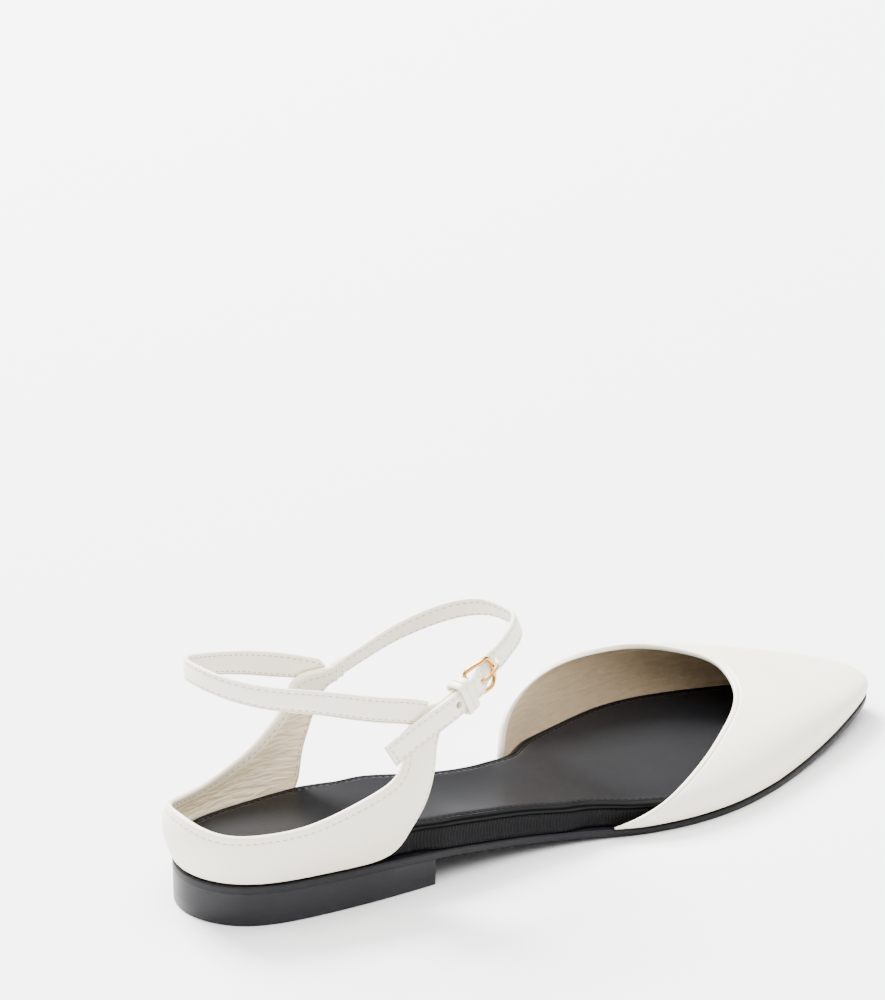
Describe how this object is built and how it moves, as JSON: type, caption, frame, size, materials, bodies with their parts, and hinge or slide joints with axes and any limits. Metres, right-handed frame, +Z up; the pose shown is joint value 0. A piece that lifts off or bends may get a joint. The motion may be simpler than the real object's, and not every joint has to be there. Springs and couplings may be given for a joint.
{
  "type": "women's flat shoe with ankle strap",
  "caption": "Women's pointed flat shoe, right foot: low vamp, heel counter with tall wings, strap round the back, narrow instep strap with a small buckle, low stacked heel.",
  "frame": {"origin": "on the floor, under the middle of the heel's flat top piece", "axes": "+Y along the shoe to the toe, +X to the outer side of the right foot, +Z up"},
  "size_m": [0.0794, 0.2676, 0.0811],
  "materials": {
    "upper": "smooth ivory leather, satin",
    "sole": "black dyed sole leather, edge waxed",
    "footbed": "black cushioned leather footbed, ribbed tape round its side",
    "buckle": "light gold plating, polished"
  },
  "bodies": {
    "root": {"outsole": "sole", "heel": "sole", "insole": "footbed", "vamp": "upper", "heel_counter": "upper", "instep_strap": "upper", "keeper": "upper", "buckle_frame": "buckle", "buckle_prong": "buckle"}
  },
  "joints": []
}
